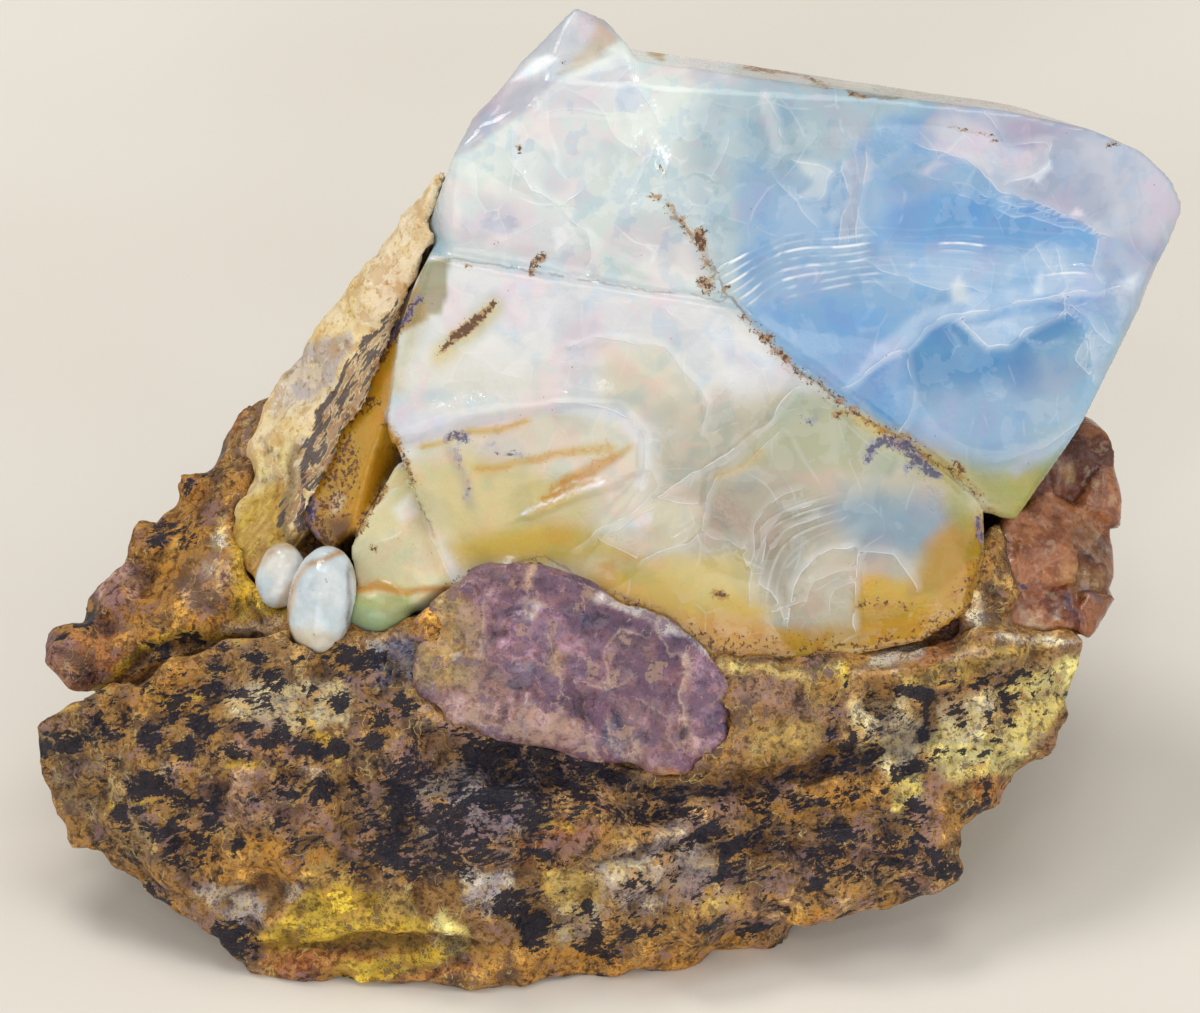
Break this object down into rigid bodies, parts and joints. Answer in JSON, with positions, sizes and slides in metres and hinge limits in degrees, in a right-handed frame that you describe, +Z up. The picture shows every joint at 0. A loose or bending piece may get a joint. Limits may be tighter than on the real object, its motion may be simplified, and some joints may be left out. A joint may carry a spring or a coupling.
{
  "type": "rough opal specimen",
  "caption": "Rough block of milky blue opal with conchoidal breaks, seated in knobbly brown host rock with a purple chalcedony patch, a cream crust and small opal beads.",
  "frame": {"origin": "on the surface that the specimen rests on, under the middle of its bounding box", "axes": "+X to the specimen's right as displayed, +Y away from its display side, +Z up"},
  "size_m": [0.0984, 0.0612, 0.0667],
  "materials": {
    "blue_opal": "glassy",
    "brown_opal": "glassy",
    "host_rock": "rough",
    "purple_chalcedony": "waxy",
    "cream_crust": "rough",
    "opal_bead": "glassy"
  },
  "bodies": {
    "root": {"opal": "blue_opal", "brown_opal": "brown_opal", "host_rock": "host_rock", "purple_chalcedony": "purple_chalcedony", "cream_crust": "cream_crust", "opal_bead_front": "opal_bead", "opal_bead_rear": "opal_bead"}
  },
  "joints": []
}
